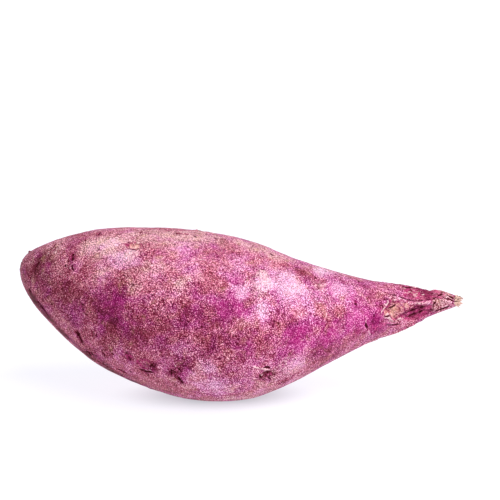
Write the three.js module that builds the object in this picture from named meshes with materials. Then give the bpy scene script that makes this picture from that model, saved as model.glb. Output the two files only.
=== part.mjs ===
// A sweet potato: one swollen storage root, lying on its side as picked.
//
// Millimetres, +Z up. The root lies along X, with the blunt crown end at -X and
// the shrunken neck, where it was torn from the vine, at +X. The origin is the
// middle of its outline on the surface that it rests on. Looking along +Y shows
// its best side. It grew as one piece, so it is one closed solid.
//
// The solid is a unit ball drawn out to the root's length. Each slice across X
// is an oval whose size and centre come from a short list of stations. Slow
// lobes break the oval, long hollows flute the neck, and the belly is pressed
// flat where the weight rests.

import * as THREE from "three";

// Driving dimensions.
const LENGTH = 190;
const GIRTH = 75; // greatest thickness, across the belly
const FOOT_DEPTH = 1.2; // how deep the belly is pressed flat

// Mesh fineness: rings along the root, and segments round it.
const RINGS = 64;
const SEGMENTS = 48;

// Stations along the root. along runs from 0 at the crown to 1 at the neck's
// tip. tall and deep are the oval's height and depth, as shares of GIRTH, before
// the ball's own rounding narrows them towards both ends. up and back are where
// the oval's centre lies, in mm: above the belly's centre line, and away from
// the root's front. So the root sags in the middle and both ends bend back.
const STATIONS = [
  { along: 0.0, tall: 0.84, deep: 0.8, up: 16.0, back: 15.5 },
  { along: 0.07, tall: 0.89, deep: 0.82, up: 11.8, back: 11.5 },
  { along: 0.18, tall: 1.0, deep: 0.9, up: 6.4, back: 6.4 },
  { along: 0.3, tall: 1.005, deep: 0.95, up: 2.4, back: 2.6 },
  { along: 0.42, tall: 0.98, deep: 0.975, up: -0.7, back: 0.4 },
  { along: 0.53, tall: 0.89, deep: 0.945, up: -1.9, back: 0.0 },
  { along: 0.63, tall: 0.7, deep: 0.8, up: -1.8, back: 0.9 },
  { along: 0.72, tall: 0.54, deep: 0.61, up: -0.5, back: 2.8 },
  { along: 0.8, tall: 0.435, deep: 0.46, up: 1.2, back: 4.6 },
  { along: 0.87, tall: 0.41, deep: 0.36, up: 2.1, back: 6.2 },
  { along: 0.94, tall: 0.32, deep: 0.28, up: 4.4, back: 7.4 },
  { along: 1.0, tall: 0.25, deep: 0.25, up: 4.4, back: 8.0 },
];

// Slow lobes round the root: each swells it by share of its size, count times
// round, and turns by twist radians from one end to the other.
const LOBES = [
  { count: 2, share: 0.01, twist: 2.1, phase: 3.8 },
  { count: 3, share: 0.011, twist: -1.7, phase: 0.8 },
  { count: 5, share: 0.004, twist: 2.9, phase: 1.8 },
];

// Hollows that flute the dried neck, between ridges that meet at the tip. round
// is the angle of a hollow's middle, in degrees from the front over the top.
// from and to are its ends along the root, wide is its half-width in degrees,
// and deep is its share of the neck's size.
const FLUTES = [
  { round: 53, from: 0.85, to: 0.955, wide: 32, deep: 0.17 },
  { round: -16, from: 0.86, to: 0.938, wide: 28, deep: 0.2 },
  { round: 118, from: 0.81, to: 0.965, wide: 30, deep: 0.18 },
  { round: 185, from: 0.84, to: 0.95, wide: 30, deep: 0.2 },
  { round: 256, from: 0.82, to: 0.96, wide: 32, deep: 0.18 },
];

// A smooth hump: 1 in the middle of its span, 0 at both ends and beyond.
function hump(offset) {
  const inside = Math.max(0, 1 - offset * offset);
  return inside * inside;
}

// The signed angle from one direction to another, between -180 and 180 degrees.
function angleBetween(from, to) {
  const turn = THREE.MathUtils.euclideanModulo(to - from + 180, 360);
  return turn - 180;
}

// How much the lobes and the neck's flutes scale a slice in one direction.
function swelling(along, round) {
  let swell = 1;
  for (const { count, share, twist, phase } of LOBES) {
    swell += share * Math.cos(count * round + twist * along + phase);
  }
  const degrees = THREE.MathUtils.radToDeg(round);
  for (const { round: middle, from, to, wide, deep } of FLUTES) {
    const lengthwise = (2 * along - from - to) / (to - from);
    const crosswise = angleBetween(middle, degrees) / wide;
    swell -= deep * hump(lengthwise) * hump(crosswise);
  }
  return swell;
}

// The stations joined into smooth curves along the root.
function makeLoft() {
  const places = STATIONS.map((station) => station.along);
  const values = STATIONS.flatMap(({ tall, deep, up, back }) => [tall, deep, up, back]);
  return new THREE.CubicInterpolant(places, values, 4, new Float32Array(4));
}

// A unit ball, poles on X, drawn out into the root before it is set down.
function drawOut(ball, loft) {
  const place = ball.getAttribute("position");
  for (let i = 0; i < place.count; i += 1) {
    const along = (1 + place.getX(i)) / 2;
    const [tall, deep, up, back] = loft.evaluate(along);
    const swell = swelling(along, Math.atan2(place.getZ(i), -place.getY(i)));
    place.setXYZ(
      i,
      (along - 0.5) * LENGTH,
      back + (place.getY(i) * deep * swell * GIRTH) / 2,
      up + (place.getZ(i) * tall * swell * GIRTH) / 2,
    );
  }
}

// Lowers the root until the belly is FOOT_DEPTH into the surface, presses that
// much flat, and centres the outline over the origin.
function setDown(geometry) {
  geometry.computeBoundingBox();
  const { min, max } = geometry.boundingBox;
  geometry.translate(-(min.x + max.x) / 2, -(min.y + max.y) / 2, -min.z - FOOT_DEPTH);
  const place = geometry.getAttribute("position");
  for (let i = 0; i < place.count; i += 1) {
    place.setZ(i, Math.max(0, place.getZ(i)));
  }
}

function makeRoot() {
  const geometry = new THREE.SphereGeometry(1, SEGMENTS, RINGS);
  geometry.rotateZ(Math.PI / 2);
  drawOut(geometry, makeLoft());
  setDown(geometry);
  geometry.computeVertexNormals();
  return geometry;
}

const skin = new THREE.MeshStandardMaterial({
  color: 0xa8506c,
  roughness: 0.6,
  metalness: 0,
});

const root = new THREE.Mesh(makeRoot(), skin);
root.name = "sweet_potato";

const sweetPotato = new THREE.Group();
sweetPotato.add(root);

export default sweetPotato;
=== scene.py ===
"""A raw sweet potato on a pale floor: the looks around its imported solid.

The root is one closed skin. It is wrapped on the solid and then sculpted: slow
swells, rootlet eyes, corky scabs, cracks, the fluted neck, and the torn tip with
its fibres. What shows at each place is kept in point attributes, and one
procedural material paints the skin from them.

Lengths are in millimetres until the finished mesh is scaled to metres. A place
on the root is its distance along X, and its turn: degrees round the root from
the front, over the top.
"""

import logging
import math
import random
from dataclasses import dataclass, field
from enum import Enum
from typing import ClassVar

import bmesh
import bpy
import numpy as np
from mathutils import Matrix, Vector, noise
from mathutils.bvhtree import BVHTree


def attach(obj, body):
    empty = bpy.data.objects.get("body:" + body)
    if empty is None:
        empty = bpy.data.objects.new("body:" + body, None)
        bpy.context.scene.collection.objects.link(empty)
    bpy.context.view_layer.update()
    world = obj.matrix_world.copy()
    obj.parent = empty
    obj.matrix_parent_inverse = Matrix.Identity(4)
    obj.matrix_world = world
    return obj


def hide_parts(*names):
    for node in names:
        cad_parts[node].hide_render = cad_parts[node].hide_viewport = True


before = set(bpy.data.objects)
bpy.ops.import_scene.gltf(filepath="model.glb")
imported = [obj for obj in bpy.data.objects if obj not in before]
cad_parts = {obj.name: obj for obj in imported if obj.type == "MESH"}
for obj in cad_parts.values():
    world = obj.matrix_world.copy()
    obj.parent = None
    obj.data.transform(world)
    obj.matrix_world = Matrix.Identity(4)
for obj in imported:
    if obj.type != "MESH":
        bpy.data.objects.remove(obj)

log = logging.getLogger("sweet_potato")

MM = 0.001  # metres in a millimetre
FINE = 0.7  # mm between the lumps of the finest noise that is carved
NODE = "sweet_potato"
PIECE = "sweet_potato_root"
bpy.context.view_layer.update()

Colour = tuple[float, float, float, float]
Triple = tuple[float, float, float]


# ---------------------------------------------------------------- small helpers


def hump(offset: np.ndarray) -> np.ndarray:
    """1 in the middle, falling smoothly to 0 at an offset of 1 either way."""
    return np.clip(1 - offset**2, 0, 1) ** 2


def rise(value: np.ndarray, low: float, high: float) -> np.ndarray:
    """0 below low, 1 above high, and a smooth step between them."""
    share = np.clip((value - low) / (high - low), 0, 1)
    return share * share * (3 - 2 * share)


def wobble(places: np.ndarray, size: float | Triple, seed: float) -> np.ndarray:
    """Smooth noise over places.

    Args:
        places: Points, one to a row.
        size: How far apart its lumps are, the same all ways or for X, Y and Z.
        seed: Moves the pattern, so that two seeds give two patterns.

    Returns:
        One value for each point, from about -1 to 1.
    """
    shift = np.array((seed, 2.7 * seed, -1.3 * seed))
    spots = places / np.array(size) + shift
    return np.array([noise.noise(spot) for spot in spots.tolist()])


def paint(code: str) -> Colour:
    """A colour in linear light.

    Args:
        code: Its usual six-digit code, such as "#ffffff".

    Returns:
        Its red, green and blue, and an opacity of 1.
    """
    shares = [int(code[i : i + 2], 16) / 255 for i in (1, 3, 5)]
    linear = [s / 12.92 if s <= 0.04045 else ((s + 0.055) / 1.055) ** 2.4 for s in shares]
    return (*linear, 1.0)


# -------------------------------------------------------------- material making


class NodeBook:
    """Adds the nodes of one material."""

    def __init__(self, tree: bpy.types.NodeTree) -> None:
        """Starts with an empty tree."""
        self.tree = tree
        tree.nodes.clear()

    def add(
        self, kind: str, settings: dict | None = None, inputs: dict | None = None
    ) -> bpy.types.Node:
        """Adds one node.

        Args:
            kind: The node's type, such as "ShaderNodeMath".
            settings: Its properties, set first. "stops" fills a colour ramp.
            inputs: A value or a link for each socket, by name or number.

        Returns:
            The new node.
        """
        node = self.tree.nodes.new(kind)
        for name, value in (settings or {}).items():
            if name == "stops":
                self._fill_ramp(node.color_ramp, value)
            else:
                setattr(node, name, value)
        for name, value in (inputs or {}).items():
            self.plug(node.inputs[name], value)
        return node

    def plug(self, socket: bpy.types.NodeSocket, value: object) -> None:
        """Gives a socket its value.

        Args:
            socket: The socket to fill.
            value: Another socket or a Value, which is linked, or a constant.
        """
        if isinstance(value, Value):
            value = value.socket
        if isinstance(value, bpy.types.NodeSocket):
            self.tree.links.new(value, socket)
        else:
            socket.default_value = value

    @staticmethod
    def _fill_ramp(ramp: bpy.types.ColorRamp, stops: list[tuple[float, Colour]]) -> None:
        """Gives a colour ramp its stops.

        Args:
            ramp: The ramp, which has two stops so far.
            stops: Each stop's place and colour, from the lowest place up.
        """
        while len(ramp.elements) < len(stops):
            ramp.elements.new(1.0)
        for element, (place, colour) in zip(ramp.elements, stops):
            element.position = place
            element.color = colour

    def ramp(self, value: "Value", stops: list[tuple[float, Colour]]) -> bpy.types.NodeSocket:
        """The colour that a ramp of these stops has at a value."""
        return self.add("ShaderNodeValToRGB", {"stops": stops}, {0: value}).outputs[0]

    def blend(
        self, share: object, under: object, over: object, mode: str = "MIX"
    ) -> bpy.types.NodeSocket:
        """Lays one colour over another.

        Args:
            share: How much of it shows, from 0 to 1.
            under: The colour below.
            over: The colour laid over it.
            mode: How they mix, as Blender names it.

        Returns:
            The mixed colour's socket.
        """
        settings = {"data_type": "RGBA", "blend_type": mode, "clamp_factor": True}
        # The Mix node has its colours at sockets 6 and 7, and gives one at 2.
        return self.add("ShaderNodeMix", settings, {0: share, 6: under, 7: over}).outputs[2]

    def look(self, look: "Look") -> "Value":
        """How much of a look the skin shows, from its point attribute."""
        settings = {"attribute_name": look.value}
        return Value(self, self.add("ShaderNodeAttribute", settings).outputs["Fac"])

    def finish(self, inputs: dict) -> None:
        """Ends the material with a Principled shader that has these inputs."""
        shader = self.add("ShaderNodeBsdfPrincipled", {}, inputs)
        self.add("ShaderNodeOutputMaterial", {}, {"Surface": shader.outputs[0]})


class Value:
    """A number that varies over a surface, with Python's operators as Math nodes."""

    def __init__(self, book: NodeBook, socket: bpy.types.NodeSocket) -> None:
        """Wraps a socket of the book's tree."""
        self.book = book
        self.socket = socket

    def _math(self, operation: str, *terms: object, clamp: bool = False) -> "Value":
        """Adds a Math node on some terms.

        Args:
            operation: What it does, as Blender names it.
            terms: What it works on.
            clamp: Whether it holds what it gives between 0 and 1.

        Returns:
            What it gives.
        """
        settings = {"operation": operation, "use_clamp": clamp}
        node = self.book.add("ShaderNodeMath", settings, dict(enumerate(terms)))
        return Value(self.book, node.outputs[0])

    def __add__(self, other: object) -> "Value":
        """self + other."""
        return self._math("ADD", self, other)

    def __sub__(self, other: object) -> "Value":
        """self - other."""
        return self._math("SUBTRACT", self, other)

    def __rsub__(self, other: object) -> "Value":
        """other - self."""
        return self._math("SUBTRACT", other, self)

    def __mul__(self, other: object) -> "Value":
        """self * other."""
        return self._math("MULTIPLY", self, other)

    __radd__ = __add__
    __rmul__ = __mul__

    def over(self, low: float, high: float) -> "Value":
        """A smooth step.

        Args:
            low: Where it starts to rise from 0.
            high: Where it reaches 1.

        Returns:
            0 where this value is below low, and 1 where it is above high.
        """
        inputs = {"Value": self, "From Min": low, "From Max": high}
        node = self.book.add("ShaderNodeMapRange", {"interpolation_type": "SMOOTHSTEP"}, inputs)
        return Value(self.book, node.outputs[0])

    def kept(self) -> "Value":
        """This value held between 0 and 1."""
        return self._math("ADD", self, 0.0, clamp=True)


@dataclass(frozen=True)
class Cloud:
    """A layer of soft noise.

    Its size is how far apart its lumps are, in mm. Detail is how many finer layers
    it has, roughness is how strong they are, and distortion is how much it swirls.
    """

    size: float
    seed: float
    detail: float = 2.0
    roughness: float = 0.5
    distortion: float = 0.0


class Grain:
    """Noise on the object's own coordinates, with its sizes in mm."""

    def __init__(self, book: NodeBook) -> None:
        """Reads the coordinates once for every pattern.

        Args:
            book: The material's nodes.
        """
        self.book = book
        place = book.add("ShaderNodeTexCoord").outputs["Object"]
        scale = {"operation": "SCALE"}
        self.place = book.add("ShaderNodeVectorMath", scale, {0: place, "Scale": 1 / MM}).outputs[0]

    def along(self) -> Value:
        """The distance along X."""
        return Value(self.book, self.book.add("ShaderNodeSeparateXYZ", {}, {0: self.place}).outputs[0])

    def moved(self, seed: float) -> bpy.types.NodeSocket:
        """The coordinates moved by a seed, so that two seeds give two patterns."""
        inputs = {"Vector": self.place, "Location": (seed, 3.1 * seed, -1.7 * seed)}
        return self.book.add("ShaderNodeMapping", {}, inputs).outputs[0]

    def cloud(self, cloud: Cloud) -> Value:
        """Draws a layer of soft noise.

        Args:
            cloud: The layer.

        Returns:
            Values from about -1 to 1, with a middle of 0.
        """
        inputs = {
            "Vector": self.moved(cloud.seed),
            "Scale": 1 / cloud.size,
            "Detail": cloud.detail,
            "Roughness": cloud.roughness,
            "Distortion": cloud.distortion,
        }
        return Value(self.book, self.book.add("ShaderNodeTexNoise", {}, inputs).outputs[0]) * 2 - 1

    def specks(self, size: float, seed: float) -> Value:
        """Distance from the nearest of many scattered points, about 0 to 1."""
        inputs = {"Vector": self.moved(seed), "Scale": 1 / size}
        return Value(self.book, self.book.add("ShaderNodeTexVoronoi", {}, inputs).outputs["Distance"])


class Look(Enum):
    """What can show on the skin. Each is a point attribute of that name."""

    SOIL_AND_SHADE = "soil_and_shade"  # dirt in cracks and pits, and painted shade in folds, grooves and along the belly's lower edge
    CORK = "cork"  # dull scabs
    FLESH = "flesh"  # dried flesh where skin has peeled
    PALE = "pale"  # cream edges of broken skin, and painted highlights on the neck's crests and lower rim and on the upper right
    WINE = "wine"  # deep red-purple bruises, and painted shade in hollows and the neck's pleats
    FIBRE = "fibre"  # torn fibres
    BLUSH = "blush"  # bright magenta zones
    DUSK_AND_SHADE = "dusk_and_shade"  # dark purple zones, and painted shade on the left end and the belly's lower edge
    DUST = "dust"  # dusty beige zones
    LILAC_AND_HIGHLIGHT = "lilac_and_highlight"  # pale zones, partly real colour and partly a painted highlight


@dataclass(frozen=True)
class SkinFinish:
    """The skin's colours, and how they mottle, gleam and pit it.

    The ruddy, violet and dusty colours each run from the darkest fleck to the
    palest. The clouds go from the broad zones down to the finest grit.
    """

    ruddy: tuple[str, ...] = ("#5a0c20", "#861c3c", "#ae4e69", "#dc7c98", "#f8bed0")
    violet: tuple[str, ...] = ("#560430", "#861456", "#b24488", "#dc7ab6", "#f8c8e8")
    dusty: tuple[str, ...] = ("#561a24", "#843648", "#ac6270", "#d4949d", "#f6ced2")
    stops: tuple[float, ...] = (0.0, 0.25, 0.5, 0.76, 1.0)
    vivid: str = "#c0187a"
    lilac_and_highlight: str = "#eecede"
    straw: str = "#d8b078"
    soil_and_shade: str = "#44020e"
    cork: str = "#6a3a36"
    flesh: str = "#a03c46"
    marrow: str = "#e6aca0"
    pale: str = "#f2c8cc"
    wine: str = "#72043c"
    berry: str = "#bc3474"
    fibre: str = "#e2bcac"
    zone: Cloud = Cloud(34, 3, detail=1)
    blotch: Cloud = Cloud(10, 11, distortion=0.5)
    mottle: Cloud = Cloud(3.4, 23, distortion=0.4)
    fleck: Cloud = Cloud(1.3, 37, detail=1, roughness=0.6)
    grit: Cloud = Cloud(0.4, 43, detail=1, roughness=0.7)
    hue: Cloud = Cloud(12, 47, roughness=0.6, distortion=0.5)
    tint: Cloud = Cloud(5, 59, detail=1.5, roughness=0.6, distortion=0.3)
    husk: Cloud = Cloud(3.6, 53)
    violet_from: tuple[float, float] = (-75, 30)  # it grows more violet along X
    pore_gap: float = 1.5
    pore_seed: float = 61
    gloss: float = 0.08
    bump: float = 0.6
    bump_depth: float = 0.14  # mm

    def make(self) -> bpy.types.Material:
        """Builds the skin's material.

        Returns:
            The finished material.
        """
        material = bpy.data.materials.new("sweet_potato_skin")
        material.use_nodes = True
        book = NodeBook(material.node_tree)
        grain = Grain(book)
        look = {kind: book.look(kind) for kind in Look}
        mottle = grain.cloud(self.mottle)
        fleck = grain.cloud(self.fleck)
        grit = grain.cloud(self.grit)
        # The grain is stronger in the painted highlight zones and in the dusty zones.
        bright = 1 + 0.5 * look[Look.LILAC_AND_HIGHLIGHT] + 0.35 * look[Look.DUST]

        colour = self._clear_skin(book, grain, look, (mottle, fleck, grit, bright))
        colour = self._marked(book, look, colour, (mottle, fleck, grit))
        colour = book.blend(1.0, colour, 1 + 0.6 * grit * bright, mode="MULTIPLY")
        rough = 0.52 + 0.1 * mottle + 0.2 * fleck + 0.25 * look[Look.CORK] + 0.2 * look[Look.SOIL_AND_SHADE]
        relief = {"Strength": self.bump, "Distance": self.bump_depth * MM}
        relief["Height"] = 0.4 * mottle + 0.6 * fleck + 0.4 * grit
        book.finish({
            "Base Color": colour,
            "Roughness": rough.kept(),
            "Normal": book.add("ShaderNodeBump", {}, relief).outputs[0],
            "Specular IOR Level": self.gloss,
        })
        return material

    def _clear_skin(
        self, book: NodeBook, grain: Grain, look: dict[Look, Value], layers: tuple[Value, ...]
    ) -> bpy.types.NodeSocket:
        """Colours the whole skin, before its marks.

        Args:
            book: The material's nodes.
            grain: Its noise.
            look: How much of each look shows.
            layers: The mottle, the flecks, the grit and how much stronger the grain is in the painted
                highlight and dusty zones.

        Returns:
            The colour's socket.
        """
        mottle, fleck, grit, bright = layers
        lilac_and_highlight, dust, dusk_and_shade, blush = (look[kind] for kind in (Look.LILAC_AND_HIGHLIGHT, Look.DUST, Look.DUSK_AND_SHADE, Look.BLUSH))
        blotch = grain.cloud(self.blotch)
        hue = grain.cloud(self.hue)
        tint = grain.cloud(self.tint)

        tone = 0.445 + 0.14 * grain.cloud(self.zone) + 0.3 * blotch * bright
        tone = tone + 0.26 * mottle + 0.22 * fleck + 1.5 * grit * bright
        pores = (1 - grain.specks(self.pore_gap, self.pore_seed).over(0.1, 0.32)) * (0.5 + mottle)
        # Darker in the purple zones, which are partly painted shade, and lighter in the pale zones, which are
        # partly a painted highlight.
        tone = tone - 0.14 * pores + 0.2 * dust - 0.3 * dusk_and_shade + 0.32 * lilac_and_highlight
        ruddy, violet, dusty = (
            book.ramp(tone.kept(), list(zip(self.stops, map(paint, codes))))
            for codes in (self.ruddy, self.violet, self.dusty)
        )

        share = -0.06 + 0.34 * grain.along().over(*self.violet_from) + 0.9 * hue + 1.1 * tint
        share = share + 0.7 * blush + 0.3 * dusk_and_shade + 0.6 * lilac_and_highlight
        colour = book.blend(share.kept(), ruddy, violet)
        share = (dust - 0.5 * lilac_and_highlight + 0.5 * mottle - 1.0 * tint).over(0.0, 1.1)
        colour = book.blend(share * 0.85, colour, dusty)
        share = (blush + 0.6 * hue + 0.5 * mottle + 0.8 * tint).over(0.1, 1.4)
        colour = book.blend(share * 0.45, colour, paint(self.vivid))
        # A pale overlay in the pale zones, partly a painted highlight.
        share = (lilac_and_highlight + 0.5 * blotch).over(0.3, 1.3)
        colour = book.blend(share * 0.5, colour, paint(self.lilac_and_highlight))
        share = (0.9 * grain.cloud(self.husk) - 0.5 * tint + 0.2 * dust).over(0.2, 0.8)
        return book.blend(share * 0.28, colour, paint(self.straw))

    def _marked(
        self, book: NodeBook, look: dict[Look, Value], colour: bpy.types.NodeSocket, layers: tuple[Value, ...]
    ) -> bpy.types.NodeSocket:
        """Lays the colours of the marks over the clear skin.

        Args:
            book: The material's nodes.
            look: How much of each look shows.
            colour: The clear skin's colour.
            layers: The mottle, the flecks and the grit.

        Returns:
            The colour's socket.
        """
        mottle, fleck, grit = layers
        flesh = book.blend((0.5 + 1.6 * mottle + fleck).kept(), paint(self.flesh), paint(self.marrow))
        wine = book.blend((0.4 + 1.6 * mottle + 1.5 * fleck).kept(), paint(self.wine), paint(self.berry))
        for kind, over, amount in (
            (Look.WINE, wine, 0.85),
            (Look.CORK, paint(self.cork), 0.7),
            (Look.FLESH, flesh, 0.7),
            (Look.FIBRE, paint(self.fibre), 0.9),
            (Look.PALE, paint(self.pale), 0.75),
            (Look.SOIL_AND_SHADE, paint(self.soil_and_shade), 1.0),
        ):
            shown = (look[kind] + 0.4 * fleck + 0.4 * grit).over(0.2, 0.75)
            colour = book.blend(shown * amount, colour, over)
        return colour


@dataclass(frozen=True)
class FloorFinish:
    """A plain pale surface that glows, as a lit table or paper does.

    It glows less in an oval round the place where the root touches it, in metres: a painted contact shadow.
    """

    name: str
    colour: str
    glow: float
    glow_colour: str = "#f8f8ff"
    shade_colour: str = "#a6a4ac"
    contact: Triple = (-0.010, 0.003, 0.0)
    shade_size: tuple[float, float] = (0.048, 0.023)
    roughness: float = 0.9

    def make(self) -> bpy.types.Material:
        """Builds the surface's material.

        Returns:
            The finished material.
        """
        material = bpy.data.materials.new(self.name)
        material.use_nodes = True
        book = NodeBook(material.node_tree)
        place = book.add("ShaderNodeTexCoord").outputs["Object"]
        # The painted contact shadow: inside the oval the glow turns towards the shade colour.
        oval = {"Vector": place, "Location": self.contact, "Scale": (*self.shade_size, 1.0)}
        spread = book.add("ShaderNodeMapping", {"vector_type": "TEXTURE"}, oval).outputs[0]
        length = book.add("ShaderNodeVectorMath", {"operation": "LENGTH"}, {0: spread}).outputs[1]
        away = Value(book, length).over(0.0, 1.0)
        book.finish({
            "Base Color": paint(self.colour),
            "Roughness": self.roughness,
            "Specular IOR Level": 0.0,
            "Emission Color": book.blend(away, paint(self.shade_colour), paint(self.glow_colour)),
            "Emission Strength": self.glow,
        })
        return material


# -------------------------------------------------------------------- the solid


class Solid:
    """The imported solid, in mm: a surface for the skin to lie on, and its middle line."""

    def __init__(self, node: bpy.types.Object) -> None:
        """Measures the solid.

        Args:
            node: Its CAD object, which is only read.
        """
        shape = bmesh.new()
        shape.from_mesh(node.data)
        bmesh.ops.scale(shape, vec=(1 / MM,) * 3, verts=shape.verts)
        bmesh.ops.remove_doubles(shape, verts=shape.verts, dist=0.001)
        self.surface = BVHTree.FromBMesh(shape)
        corners = np.array([corner.co for corner in shape.verts])
        shape.free()
        places = corners[:, 0].round(2)
        rings = [corners[places == place] for place in np.unique(places)]
        self.along = np.array([ring[0, 0] for ring in rings])
        self.middles = np.array([(ring.min(axis=0) + ring.max(axis=0)) / 2 for ring in rings])
        spokes = [ring - middle for ring, middle in zip(rings, self.middles)]
        self.radii = np.array([np.linalg.norm(spoke, axis=1).mean() for spoke in spokes])

    def middle(self, along: np.ndarray) -> np.ndarray:
        """The points of the middle line at these distances along X."""
        sides = [np.interp(along, self.along, self.middles[:, axis]) for axis in (1, 2)]
        return np.stack([along, *sides], axis=-1)

    def turns(self, places: np.ndarray) -> np.ndarray:
        """The turns of these points, in radians."""
        offsets = places - self.middle(places[:, 0])
        return np.arctan2(offsets[:, 2], -offsets[:, 1])

    def lay(self, along: np.ndarray, turns: np.ndarray) -> np.ndarray:
        """Finds points of the surface.

        Args:
            along: Their distances along X.
            turns: Their turns, in radians.

        Returns:
            One point to a row. A ray that finds nothing gives the middle.
        """
        starts = self.middle(along).tolist()
        ways = np.stack([np.zeros_like(turns), -np.cos(turns), np.sin(turns)], axis=-1).tolist()
        hits = [self.surface.ray_cast(start, way)[0] or start for start, way in zip(starts, ways)]
        return np.array([tuple(hit) for hit in hits])

    def point(self, along: float, turn: float) -> np.ndarray:
        """The point of the surface at a place, its turn in degrees."""
        return self.lay(np.array([along]), np.radians([turn]))[0]


# ------------------------------------------------------- the skin being sculpted


class Canvas:
    """The skin's points while it is sculpted, in mm."""

    def __init__(self, shape: bmesh.types.BMesh, solid: Solid) -> None:
        """Reads the points' places and the ways they face.

        Args:
            shape: The smooth skin.
            solid: The solid that it lies on.
        """
        self.solid = solid
        self.places = np.array([point.co for point in shape.verts])
        self.facing = np.array([point.normal for point in shape.verts])
        self.push = np.zeros(len(self.places))
        self.shows = {look: np.zeros(len(self.places)) for look in Look}

    def show(self, look: Look, amount: np.ndarray, near: np.ndarray | slice = slice(None)) -> None:
        """Lets a look show at least this much, everywhere or at the points near a mark."""
        self.shows[look][near] = np.maximum(self.shows[look][near], amount)

    def hide(self, look: Look, share: np.ndarray, near: np.ndarray | slice = slice(None)) -> None:
        """Takes a share of a look away, everywhere or at the points near a mark."""
        self.shows[look][near] *= 1 - np.clip(share, 0, 1)


@dataclass(frozen=True)
class Patch:
    """The skin near a mark: which points, and where they lie from its middle.

    run goes along the mark and side across it. rag is coarse noise there, and fine
    is fine noise, each from about -1 to 1.
    """

    canvas: Canvas
    near: np.ndarray
    run: np.ndarray
    side: np.ndarray
    rag: np.ndarray
    fine: np.ndarray

    def push(self, height: np.ndarray) -> None:
        """Moves the skin out by this many mm, or in if it is negative."""
        self.canvas.push[self.near] += height

    def show(self, look: Look, amount: np.ndarray, most: float = math.inf) -> None:
        """Lets a look show at least this much, but no more than most."""
        self.canvas.show(look, np.minimum(amount, most), self.near)

    def hide(self, look: Look, share: np.ndarray) -> None:
        """Takes a share of a look away."""
        self.canvas.hide(look, share, self.near)

    def wobble(self, size: float | Triple, seed: float) -> np.ndarray:
        """Smooth noise over the patch."""
        return wobble(self.canvas.places[self.near], size, seed)


class Mark:
    """Something to carve into the skin."""

    def parts(self) -> list["Mark"]:
        """The single marks that it is made of, in order."""
        return [self]

    def anchors(self, solid: Solid) -> list[tuple[np.ndarray, float]]:
        """The places that need a finer mesh, each with how far from it."""
        raise NotImplementedError

    def patch(self, canvas: Canvas) -> Patch:
        """The skin that the mark may change."""
        raise NotImplementedError

    def cut(self, patch: Patch) -> None:
        """Shapes and colours the patch."""
        raise NotImplementedError

    def carve(self, canvas: Canvas) -> None:
        """Cuts the mark where it lies on the skin."""
        self.cut(self.patch(canvas))


@dataclass(frozen=True)
class Spot(Mark):
    """A mark with a middle.

    Its size is half its length, its width is a share of that, and its lean is how
    many degrees its length is turned from the root's own. reach is how many sizes
    away it still changes the skin, and anchored says whether it needs a finer mesh.
    Skin that faces the mark's way by less than same_side isn't part of it.
    """

    reach: ClassVar[float] = 2.4
    anchored: ClassVar[bool] = True
    same_side: ClassVar[float] = 0.15
    along: float
    turn: float
    size: float
    width: float = 1.0
    lean: float = 0.0

    def anchors(self, solid: Solid) -> list[tuple[np.ndarray, float]]:
        """The places that need a finer mesh, each with how far from it."""
        return [(solid.point(self.along, self.turn), 1.3 * self.size)] if self.anchored else []

    def patch(self, canvas: Canvas) -> Patch:
        """Finds the skin within reach of the middle.

        Args:
            canvas: The skin.

        Returns:
            Its points, placed along and across the mark in mm.
        """
        offsets = canvas.places - canvas.solid.point(self.along, self.turn)
        distances = np.linalg.norm(offsets, axis=1)
        normal = canvas.facing[np.argmin(distances)]
        lengthwise = np.array((1.0, 0.0, 0.0)) - normal[0] * normal
        lengthwise /= np.linalg.norm(lengthwise)
        crosswise = np.cross(normal, lengthwise)
        lean = math.radians(self.lean)
        long_way = math.cos(lean) * lengthwise + math.sin(lean) * crosswise
        side_way = np.cross(normal, long_way)
        within = distances < self.reach * self.size
        near = np.flatnonzero(within & (canvas.facing @ normal > self.same_side))
        rag = wobble(canvas.places[near], 0.6 * self.size, self.along + 0.1 * self.turn)
        fine = wobble(canvas.places[near], FINE, self.turn - 0.3 * self.along)
        return Patch(canvas, near, offsets[near] @ long_way, offsets[near] @ side_way, rag, fine)

    def ring(self, patch: Patch) -> np.ndarray:
        """How far out each point lies: 0 in the middle and 1 on the outline."""
        return np.hypot(patch.run / self.size, patch.side / (self.size * self.width))


@dataclass(frozen=True)
class Eye(Spot):
    """The scar of a fine root: a dimple with a rim, dark slits and a pale nub."""

    reach: ClassVar[float] = 2.8
    width: float = 0.8
    depth: float = 0.35
    nub: float = 0.5

    def cut(self, patch: Patch) -> None:
        """Presses the dimple and dirties it.

        Args:
            patch: The skin round the mark.
        """
        ring = self.ring(patch) + 0.45 * patch.rag + 0.15 * patch.fine
        slit = hump((patch.side + 0.5 * patch.rag) / (0.16 * self.size)) * hump(ring / 1.4)
        nub = self.nub * hump((ring - 0.1) / 0.5)
        rim = hump((ring - 1.2) / 0.6)
        pits = rise(patch.fine + 0.3 * patch.rag, 0.08, 0.3) * hump(ring / 1.6)
        patch.push(self.depth * self.size * (0.3 * rim - hump(ring / 1.25) - 0.4 * slit + 0.9 * nub))
        patch.show(Look.SOIL_AND_SHADE, 0.22 * hump(ring / 1.2) + slit + 0.9 * pits - 1.6 * nub, most=1)
        patch.show(Look.CORK, (0.55 + patch.fine) * hump(ring / 1.4))
        patch.show(Look.PALE, 1.6 * nub, most=0.7)
        patch.show(Look.PALE, rim * (0.35 + 2 * patch.rag) * (patch.side > 0), most=0.5)
        patch.show(Look.WINE, 0.5 * hump(ring / 2.0))
        patch.show(Look.DUSK_AND_SHADE, 0.7 * hump(ring / 2.6))


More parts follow.
